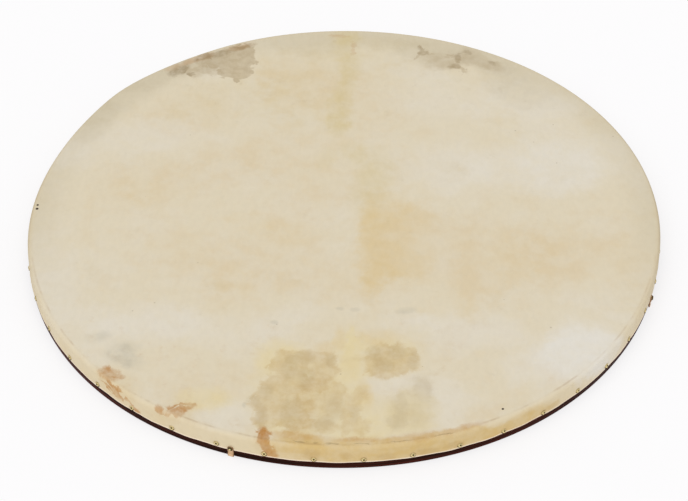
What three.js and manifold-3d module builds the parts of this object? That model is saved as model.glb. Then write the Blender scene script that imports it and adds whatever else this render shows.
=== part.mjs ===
// A large, shallow, round frame drum, lying flat with its head up.
//
// A bent-wood hoop is open at the back. One rawhide skin is stretched over it and folded down its side,
// where a row of domed brass tacks holds it. Two small leather tabs hang over the skin's lower edge, each
// on a tack of its own.
//
// Millimetres, +Z up. The origin is the middle of the hoop's underside. Angles turn from the front, -Y,
// towards +X.

import * as THREE from "three";
import { mergeVertices } from "three/addons/utils/BufferGeometryUtils.js";
import Module from "manifold-3d";

const wasm = await Module();
wasm.setup();

// The drum's outer size, over the skin.
const DRUM_RADIUS = 380;
const DRUM_HEIGHT = 34;
const EDGE_RADIUS = 5;

// The hand-bent rim is a little out of round: it swells and draws in by a few waves around the circle.
// Each wave has its number of lobes, its height in mm and the angle of a crest in degrees.
const RIM_WAVES = [
  { lobes: 2, height: 4.6, crest: -42 },
  { lobes: 3, height: 1.1, crest: -22.2 },
  { lobes: 4, height: 0.87, crest: 40.6 },
];

// Touching pieces keep this gap.
const GAP = 0.3;

// The skin and the hoop under it.
const SKIN_THICKNESS = 1;
const SKIN_LOWER_EDGE = 9.35;
const HOOP_THICKNESS = 11;
const HOOP_EASED_CORNER = 1.2;
const HOOP_CROWN_WIDTH = 1.6;
const HOOP_INNER_BEVEL_DROP = 3;

// The tacks: a low dome over a tapered shank, in a hole a little wider than the shank.
const TACK_COUNT = 44;
const FIRST_TACK_ANGLE = -78.09;
const TACK_ROW_HEIGHT = 14.25;
const TACK_HEAD_RADIUS = 3;
const TACK_DOME_HEIGHT = 1.6;
const TACK_SHOULDER_RADIUS = 2;
const TACK_SHOULDER_HEIGHT = 1.15;
const TACK_SHANK_RADIUS = 0.8;
const TACK_SHANK_LENGTH = 9;
const TACK_SIDES = 10;
const HOLE_RADIUS = 1.3;
const HOLE_SIDES = 6;
const HOLE_SPARE_DEPTH = 0.6;
const HOLE_REACH_OUT = 4;

// The two leather tabs, by the angle of each.
const TABS = [
  { name: "front", angle: -18.3 },
  { name: "right", angle: 73 },
];
const LEATHER_THICKNESS = 1.8;
const TAB_WIDTH = 7.2;
const TAB_BOTTOM = 0.4;
const TAB_TOP = 16.3;
const TAB_TIP_WIDTH = 3.4;
const TAB_SHOULDER_HEIGHT = 11.5;
const TAB_CORNER = 0.9;
const TAB_JOG_RISE = 1.8;
const TAB_TOP_EASE = 0.6;
const TAB_TACK_HEIGHT = 12.9;

// Two facets for each step of the tack row, so that each tack sits on the middle of a facet.
const RIM_SEGMENTS = 2 * TACK_COUNT;
const TACK_STEP = 360 / TACK_COUNT;
const HALF_FACET = Math.PI / RIM_SEGMENTS;
const ARC_STEPS = 3;

// The surface that tacks sit on, at the middle of a facet.
const FACET_RADIUS = DRUM_RADIUS * Math.cos(HALF_FACET);
const HOOP_RADIUS = DRUM_RADIUS - SKIN_THICKNESS - GAP;
const HOOP_HEIGHT = DRUM_HEIGHT - SKIN_THICKNESS - GAP;

const rawhide = new THREE.MeshStandardMaterial({ color: 0xdbd0b4, roughness: 0.6, metalness: 0 });
const stainedWood = new THREE.MeshStandardMaterial({ color: 0x3a1512, roughness: 0.4, metalness: 0 });
const agedBrass = new THREE.MeshStandardMaterial({ color: 0x9a7d3c, roughness: 0.4, metalness: 1 });
const tanLeather = new THREE.MeshStandardMaterial({ color: 0xcba878, roughness: 0.7, metalness: 0 });

const radians = THREE.MathUtils.degToRad;

// How far the rim lies outside or inside a true circle at an angle, as a factor of its radius.
function swell(angle) {
  let factor = 1;
  for (const { lobes, height, crest } of RIM_WAVES) {
    factor += (height / DRUM_RADIUS) * Math.cos(lobes * (angle - radians(crest)));
  }
  return factor;
}

// Joins the doubled points of a geometry, and drops triangles that have no area left.
function weld(geometry) {
  geometry.deleteAttribute("normal");
  geometry.deleteAttribute("uv");
  const joined = mergeVertices(geometry);
  const corners = joined.index.array;
  const kept = [];
  for (let i = 0; i < corners.length; i += 3) {
    const [a, b, c] = corners.slice(i, i + 3);
    if (a !== b && b !== c && c !== a) {
      kept.push(a, b, c);
    }
  }
  joined.setIndex(kept);
  return joined;
}

function toSolid(geometry) {
  const welded = weld(geometry);
  const vertProperties = new Float32Array(welded.attributes.position.array);
  const triVerts = new Uint32Array(welded.index.array);
  return new wasm.Manifold(new wasm.Mesh({ numProp: 3, vertProperties, triVerts }));
}

function toGeometry(solid) {
  const { vertProperties, triVerts } = solid.getMesh();
  const geometry = new THREE.BufferGeometry();
  geometry.setAttribute("position", new THREE.BufferAttribute(vertProperties, 3));
  geometry.setIndex(new THREE.BufferAttribute(triVerts, 1));
  geometry.computeVertexNormals();
  return geometry;
}

// Points of a quarter arc in the profile plane, from one angle to another.
function arc(centreX, centreY, radius, from, to) {
  const points = [];
  for (let step = 0; step <= ARC_STEPS; step += 1) {
    const angle = from + ((to - from) * step) / ARC_STEPS;
    points.push([centreX + radius * Math.cos(angle), centreY + radius * Math.sin(angle)]);
  }
  return points;
}

// Spins a profile of [radius, height] points around +Z and bends the ring out of round.
function ring(profile) {
  const points = profile.map(([radius, height]) => new THREE.Vector2(radius, height));
  const start = radians(FIRST_TACK_ANGLE) - HALF_FACET;
  const geometry = new THREE.LatheGeometry(points, RIM_SEGMENTS, start);
  geometry.rotateX(Math.PI / 2);
  const position = geometry.attributes.position;
  for (let i = 0; i < position.count; i += 1) {
    const x = position.getX(i);
    const y = position.getY(i);
    const factor = swell(Math.atan2(x, -y));
    position.setXY(i, x * factor, y * factor);
  }
  return geometry;
}

// The hoop: eased corners below, a rounded edge under the skin's fold, and a bevel that falls away
// inwards, so that the skin is free there.
function hoopRing() {
  const outer = HOOP_RADIUS;
  const inner = HOOP_RADIUS - HOOP_THICKNESS;
  const fold = EDGE_RADIUS - SKIN_THICKNESS - GAP;
  const foldArc = arc(outer - fold, HOOP_HEIGHT - fold, fold, 0, Math.PI / 2);
  return ring([
    [inner + HOOP_EASED_CORNER, 0],
    [outer - HOOP_EASED_CORNER, 0],
    [outer, HOOP_EASED_CORNER],
    ...foldArc,
    [outer - fold - HOOP_CROWN_WIDTH, HOOP_HEIGHT],
    [inner, HOOP_HEIGHT - HOOP_INNER_BEVEL_DROP],
    [inner, HOOP_EASED_CORNER],
    [inner + HOOP_EASED_CORNER, 0],
  ]);
}

// The head: a flat skin that folds over the hoop's edge and runs down its side.
function headSkin() {
  const foldX = DRUM_RADIUS - EDGE_RADIUS;
  const foldY = DRUM_HEIGHT - EDGE_RADIUS;
  const innerFold = EDGE_RADIUS - SKIN_THICKNESS;
  return ring([
    [0, DRUM_HEIGHT - SKIN_THICKNESS],
    ...arc(foldX, foldY, innerFold, Math.PI / 2, 0),
    [DRUM_RADIUS - SKIN_THICKNESS, SKIN_LOWER_EDGE],
    [DRUM_RADIUS, SKIN_LOWER_EDGE],
    ...arc(foldX, foldY, EDGE_RADIUS, 0, Math.PI / 2),
    [0, DRUM_HEIGHT],
  ]);
}

// A tack with its axis along -Y, which is outwards at the front, and the underside of its head at y = 0.
function tackGeometry() {
  const profile = [
    [0, -TACK_SHANK_LENGTH],
    [TACK_SHANK_RADIUS, 0],
    [TACK_HEAD_RADIUS, 0],
    [TACK_SHOULDER_RADIUS, TACK_SHOULDER_HEIGHT],
    [0, TACK_DOME_HEIGHT],
  ];
  const points = profile.map(([radius, height]) => new THREE.Vector2(radius, height));
  const geometry = new THREE.LatheGeometry(points, TACK_SIDES);
  geometry.rotateZ(Math.PI);
  const welded = weld(geometry);
  welded.computeVertexNormals();
  return welded;
}

// The hole for a tack: a radial cutter that starts outside the skin and ends just past the shank's tip.
function tackHole(angle, surface, height) {
  const depth = TACK_SHANK_LENGTH + HOLE_SPARE_DEPTH;
  const length = HOLE_REACH_OUT + depth;
  const cutter = new THREE.CylinderGeometry(HOLE_RADIUS, HOLE_RADIUS, length, HOLE_SIDES);
  cutter.translate(0, -(surface + HOLE_REACH_OUT - length / 2), height);
  cutter.rotateZ(angle);
  return toSolid(cutter);
}

// A tab at the front: its side profile, jogged over the skin's lower edge, cut to its front outline.
function tabSolid() {
  const onWood = GAP - SKIN_THICKNESS - GAP;
  const onSkin = GAP;
  const jogTop = SKIN_LOWER_EDGE - GAP;
  const jogBottom = jogTop - TAB_JOG_RISE;

  const side = new THREE.Shape();
  side.moveTo(onWood, TAB_BOTTOM);
  side.lineTo(onWood + LEATHER_THICKNESS, TAB_BOTTOM);
  side.lineTo(onWood + LEATHER_THICKNESS, jogBottom);
  side.lineTo(onSkin + LEATHER_THICKNESS, jogTop);
  side.lineTo(onSkin + LEATHER_THICKNESS, TAB_TOP - TAB_TOP_EASE);
  side.lineTo(onSkin + LEATHER_THICKNESS - TAB_TOP_EASE, TAB_TOP);
  side.lineTo(onSkin, TAB_TOP);
  side.lineTo(onSkin, jogTop);
  side.lineTo(onWood, jogBottom);
  side.closePath();
  const sideBlock = new THREE.ExtrudeGeometry(side, { depth: TAB_WIDTH, bevelEnabled: false });
  sideBlock.translate(0, 0, -TAB_WIDTH / 2);
  const outwards = new THREE.Vector3(0, -1, 0);
  const upwards = new THREE.Vector3(0, 0, 1);
  const sideways = new THREE.Vector3(-1, 0, 0);
  sideBlock.applyMatrix4(new THREE.Matrix4().makeBasis(outwards, upwards, sideways));

  const half = TAB_WIDTH / 2;
  const tip = TAB_TIP_WIDTH / 2;
  const front = new THREE.Shape();
  front.moveTo(-half + TAB_CORNER, TAB_BOTTOM);
  front.lineTo(half - TAB_CORNER, TAB_BOTTOM);
  front.quadraticCurveTo(half, TAB_BOTTOM, half, TAB_BOTTOM + TAB_CORNER);
  front.lineTo(half, TAB_SHOULDER_HEIGHT);
  front.quadraticCurveTo(half, TAB_TOP - TAB_CORNER, tip, TAB_TOP);
  front.lineTo(-tip, TAB_TOP);
  front.quadraticCurveTo(-half, TAB_TOP - TAB_CORNER, -half, TAB_SHOULDER_HEIGHT);
  front.lineTo(-half, TAB_BOTTOM + TAB_CORNER);
  front.quadraticCurveTo(-half, TAB_BOTTOM, -half + TAB_CORNER, TAB_BOTTOM);
  const reach = 2 * LEATHER_THICKNESS + SKIN_THICKNESS;
  const frontBlock = new THREE.ExtrudeGeometry(front, {
    depth: 2 * reach,
    bevelEnabled: false,
    curveSegments: ARC_STEPS,
  });
  frontBlock.translate(0, 0, -reach);
  frontBlock.rotateX(Math.PI / 2);

  return toSolid(sideBlock).intersect(toSolid(frontBlock));
}

const drum = new THREE.Group();

function addMesh(parent, name, geometry, material) {
  const mesh = new THREE.Mesh(geometry, material);
  mesh.name = name;
  parent.add(mesh);
  return mesh;
}

// A group that is turned so that its -Y points outwards at an angle of the rim.
function addSpoke(angle) {
  const spoke = new THREE.Group();
  spoke.rotation.z = angle;
  drum.add(spoke);
  return spoke;
}

let hoop = toSolid(hoopRing());
let head = toSolid(headSkin());
const tack = tackGeometry();

for (let i = 0; i < TACK_COUNT; i += 1) {
  const angle = radians(FIRST_TACK_ANGLE + i * TACK_STEP);
  const surface = FACET_RADIUS * swell(angle) + GAP;
  const hole = tackHole(angle, surface, TACK_ROW_HEIGHT);
  hoop = hoop.subtract(hole);
  head = head.subtract(hole);
  const name = `tack_${String(i + 1).padStart(2, "0")}`;
  addMesh(addSpoke(angle), name, tack, agedBrass).position.set(0, -surface, TACK_ROW_HEIGHT);
}

const tab = tabSolid();
const tabHole = tackHole(0, LEATHER_THICKNESS, TAB_TACK_HEIGHT);
const tabGeometry = toGeometry(tab.subtract(tabHole));

for (const { name, angle: degrees } of TABS) {
  const angle = radians(degrees);
  const skin = DRUM_RADIUS * swell(angle);
  const surface = skin + GAP + LEATHER_THICKNESS + GAP;
  const hole = tackHole(angle, surface, TAB_TACK_HEIGHT);
  hoop = hoop.subtract(hole);
  head = head.subtract(hole);
  const spoke = addSpoke(angle);
  addMesh(spoke, `tab_${name}`, tabGeometry, tanLeather).position.set(0, -skin, 0);
  addMesh(spoke, `tab_${name}_tack`, tack, agedBrass).position.set(0, -surface, TAB_TACK_HEIGHT);
}

addMesh(drum, "hoop", toGeometry(hoop), stainedWood);
addMesh(drum, "head", toGeometry(head), rawhide);

export default drum;
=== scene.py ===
"""Looks of a large, shallow frame drum that lies flat with its rawhide head up.

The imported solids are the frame. Each operator makes one piece, or one group of like pieces, in that frame:
the bent-wood hoop, the rawhide head, the row of brass tacks, the leather tabs and the tacks that hold them,
and then the stage. Metres, +Z up. Angles turn from the front, -Y, towards +X.
"""

import math
from collections import namedtuple

import bpy
import numpy as np
from bpy.props import FloatProperty, FloatVectorProperty, IntProperty, PointerProperty
from mathutils import Matrix, Vector


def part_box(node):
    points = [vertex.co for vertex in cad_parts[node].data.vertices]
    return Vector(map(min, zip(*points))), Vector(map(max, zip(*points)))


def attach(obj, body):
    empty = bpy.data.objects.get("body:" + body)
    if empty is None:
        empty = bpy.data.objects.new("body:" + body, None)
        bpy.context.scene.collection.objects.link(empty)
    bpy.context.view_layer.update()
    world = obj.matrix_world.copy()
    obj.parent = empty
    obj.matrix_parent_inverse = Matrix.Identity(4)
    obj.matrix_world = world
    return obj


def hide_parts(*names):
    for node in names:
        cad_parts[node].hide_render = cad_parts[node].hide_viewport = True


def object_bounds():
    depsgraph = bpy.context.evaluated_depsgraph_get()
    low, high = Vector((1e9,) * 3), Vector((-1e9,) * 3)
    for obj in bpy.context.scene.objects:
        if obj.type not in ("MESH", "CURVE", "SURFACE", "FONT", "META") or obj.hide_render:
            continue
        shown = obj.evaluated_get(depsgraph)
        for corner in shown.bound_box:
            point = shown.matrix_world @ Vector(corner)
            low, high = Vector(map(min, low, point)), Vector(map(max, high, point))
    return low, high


bl_info = {
    "name": "Frame Drum",
    "version": (1, 0, 0),
    "blender": (4, 5, 0),
    "location": "3D View > Sidebar > Drum",
    "description": "Makes a rawhide frame drum with its hoop, tacks and leather tabs",
    "category": "Add Mesh",
}

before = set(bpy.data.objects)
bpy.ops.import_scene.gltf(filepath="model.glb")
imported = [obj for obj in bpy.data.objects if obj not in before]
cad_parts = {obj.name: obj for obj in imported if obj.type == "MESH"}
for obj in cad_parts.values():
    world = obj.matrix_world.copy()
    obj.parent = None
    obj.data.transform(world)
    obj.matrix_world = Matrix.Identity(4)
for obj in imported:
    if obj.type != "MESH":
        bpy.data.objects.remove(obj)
cad_low, cad_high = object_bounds()
head_low, head_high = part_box("head")
hoop_low, hoop_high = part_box("hoop")

MM = 0.001
BODY = "root"
TACK_NODES = sorted(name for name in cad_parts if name.startswith("tack_"))
TAB_NODES = ("tab_front", "tab_right")
TAB_TACK_NODES = tuple(f"{name}_tack" for name in TAB_NODES)


def display(red, green, blue):
    """A colour as a screen shows it, 0 to 255, as the opaque linear colour that Blender works in."""
    shares = (red / 255, green / 255, blue / 255)
    linear = (s / 12.92 if s <= 0.04045 else ((s + 0.055) / 1.055) ** 2.4 for s in shares)
    return (*linear, 1.0)


def length(name, description, default):
    """A size in metres that a user can change."""
    return FloatProperty(name=name, description=description, default=default, unit="LENGTH", precision=5)


def angle(name, description, degrees):
    """An angle that a user can change."""
    return FloatProperty(name=name, description=description, default=math.radians(degrees), unit="ROTATION")


def colour(name, description, *shown):
    """A colour that a user can change, given as a screen shows it."""
    return FloatVectorProperty(
        name=name, description=description, default=display(*shown), size=4, subtype="COLOR", min=0, max=1
    )


def strength(name, description, default):
    """A strength of light that a user can change."""
    return FloatProperty(name=name, description=description, default=default, min=0)


class DrumSizes(bpy.types.PropertyGroup):
    """Sizes of the drum's pieces."""

    radius: length("Radius", "Middle radius over the skin", 380 * MM)
    height: length("Height", "Height over the skin", cad_high.z)
    fold_radius: length("Fold radius", "Radius of the skin's fold over the hoop", 5 * MM)
    swell_two: length("Two-lobed swell", "How far the rim is drawn to an oval", 4.8 * MM)
    crest_two: angle("Oval's direction", "Angle where the oval is longest", -36)
    swell_three: length("Three-lobed swell", "How far the rim is drawn to three corners", 0.45 * MM)
    crest_three: angle("First of three corners", "Angle of one of the three corners", -4.7)
    swell_four: length("Four-lobed swell", "How far the rim is drawn to four corners", 0.87 * MM)
    crest_four: angle("First of four corners", "Angle of one of the four corners", 40.6)
    skin: length("Skin thickness", "Thickness of the rawhide", 1 * MM)
    skin_edge: length("Skin's lower edge", "Height of the skin's cut edge", head_low.z + 1.1 * MM)
    hoop_gap: length("Gap under the skin", "Gap between the skin and the hoop", 0.3 * MM)
    hoop_height: length("Hoop height", "Height of the hoop's crown", hoop_high.z)
    hoop_thickness: length("Hoop thickness", "Thickness of the bent wood", 11 * MM)
    hoop_ease: length("Hoop's eased corner", "Radius of the hoop's worn corners", 1.4 * MM)
    hoop_bevel: length("Hoop's inner bevel", "How far the crown falls away inwards", 3 * MM)
    tack_count: IntProperty(name="Tacks", description="Tacks around the rim", default=len(TACK_NODES), min=1)
    tack_first: angle("First tack", "Angle of the first tack", -78.09)
    tack_height: length("Tack row height", "Height of the tack row's middle", 14.25 * MM)
    tack_radius: length("Tack head radius", "Radius of a tack's head", 3.25 * MM)
    tack_dome: length("Tack dome height", "Height of a tack's dome", 1.4 * MM)
    tack_shank: length("Tack shank", "Length of a tack's shank", 9 * MM)
    tack_shank_radius: length("Tack shank radius", "Radius of a tack's shank under its head", 0.8 * MM)
    tab_width: length("Tab width", "Width of a leather tab", 7.2 * MM)
    tab_tip: length("Tab tip width", "Width of a leather tab's top", 3.6 * MM)
    tab_thickness: length("Tab thickness", "Thickness of the tabs' leather", 1.8 * MM)
    tab_tack_height: length("Tab tack height", "Height of the tack through a tab", 13.4 * MM)
    tab_tack_radius: length("Tab tack radius", "Radius of the head of a tab's tack", 2.9 * MM)
    tab_end: length("Tab end", "How far a tab reaches above its tack's middle", 2.3 * MM)
    tab_front: angle("Front tab", "Angle of the front tab", -18.3)
    tab_right: angle("Right tab", "Angle of the right tab", 73)


class DrumColours(bpy.types.PropertyGroup):
    """Colours of the drum's finishes."""

    cream: colour("Cream", "The hide's main colour", 222, 210, 184)
    pale: colour("Pale", "The hide's thin, whitish places", 227, 222, 212)
    straw: colour("Straw", "Faint warm clouds in the hide", 218, 200, 166)
    amber: colour("Amber", "The warm patch beside the spine", 217, 193, 144)
    sand: colour("Sand", "The yellow-brown spine", 211, 193, 145)
    wheat: colour("Wheat", "The yellow wash around the front patch", 225, 208, 162)
    # Dusk is also painted shade near the rim, from the sides round to the back.
    dusk: colour("Dusk", "The dull hide near the back rim", 199, 187, 160)
    side_tan: colour("Side tan", "The hide where it is folded down the side", 217, 197, 155)
    camel: colour("Camel", "The brown patch near the front", 197, 167, 112)
    # Olive is also painted shade over the back of the fold.
    olive: colour("Olive", "The grey patches near the back", 184, 166, 134)
    umber: colour("Umber", "The darkest stains of the back rim", 128, 104, 66)
    honey: colour("Honey", "The warm tan of the front rim", 209, 178, 114)
    rust: colour("Rust", "The orange stains of the front rim", 180, 122, 52)
    smoke: colour("Smoke", "Grey rubbed marks", 186, 180, 163)
    # Crease is also painted shade in the crease line and around the tacks.
    crease: colour("Crease", "The line along the fold", 160, 124, 82)
    ink: colour("Ink", "Small dark specks", 62, 50, 38)
    # The cut edge's paler colour, also a painted highlight along it.
    cut_edge_and_highlight: colour("Cut edge", "The skin's cut lower edge", 250, 230, 205)
    flesh_side: colour("Flesh side", "The hide's inner face", 206, 190, 156)
    wood_dark: colour("Dark wood", "The wood's stain in the grain", 28, 8, 1)
    wood_red: colour("Red wood", "The wood's stain on the ridges", 72, 23, 10)
    wood_bare: colour("Bare wood", "Wood where the stain is chipped", 214, 190, 150)
    brass: colour("Brass", "Bare brass", 238, 217, 158)
    # The dark of the tab tacks' rims, and painted shade and a painted dark reflection on the rim's tacks.
    tarnish_and_shade: colour("Tarnish", "Dark tarnish on a tack", 66, 50, 20)
    leather: colour("Leather", "The tabs' tan leather", 218, 180, 138)
    # Laid towards the tabs' side edges and in clouds.
    leather_dark: colour("Handled leather", "The tabs' darker edges", 128, 88, 52)
    floor: colour("Floor", "The pale floor", 252, 251, 252)
    floor_shaded: colour("Shaded floor", "The part of the floor's tone that shadows darken", 140, 140, 140)


class DrumStage(bpy.types.PropertyGroup):
    """The camera, floor and lights."""

    distance: length("Camera distance", "Distance from the camera to the origin", 2.8998)
    elevation: angle("Camera elevation", "Elevation of the camera above the floor", 41.21)
    aim_drop: angle("Aim drop", "How far below the origin the camera aims", 0.275)
    aim_side: angle("Aim to the left", "How far left of the origin the camera aims", 0.0143)
    roll: angle("Roll", "Turn of the camera about its own axis", 1.008)
    lens: FloatProperty(name="Lens", description="Focal length in mm on a 36 mm sensor", default=125.58)
    floor_size: length("Floor size", "Side of the square floor", 14)
    floor_glow: strength("Floor glow", "The floor's own even light", 0.74)
    sky: strength("Sky", "Strength of the even white light", 0.72)
    backdrop: strength("Backdrop", "How bright the sky looks", 0.97)
    key: strength("Key", "Strength of the soft key light", 0.95)


# The hide's stains, each a colour and a few blobs that run together. A blob is its middle, its half width
# and half height and, where it is turned, its turn, in millimetres and degrees on the flat hide, with the
# front rim at -Y. A stain with an edge of 1 or more fades from its middle, and one with a small edge is
# crisp. A ragged edge wanders by that many millimetres. A patchy stain is thinner in places.
Stain = namedtuple("Stain", "name colour strength edge ragged patchy blobs")

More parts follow.
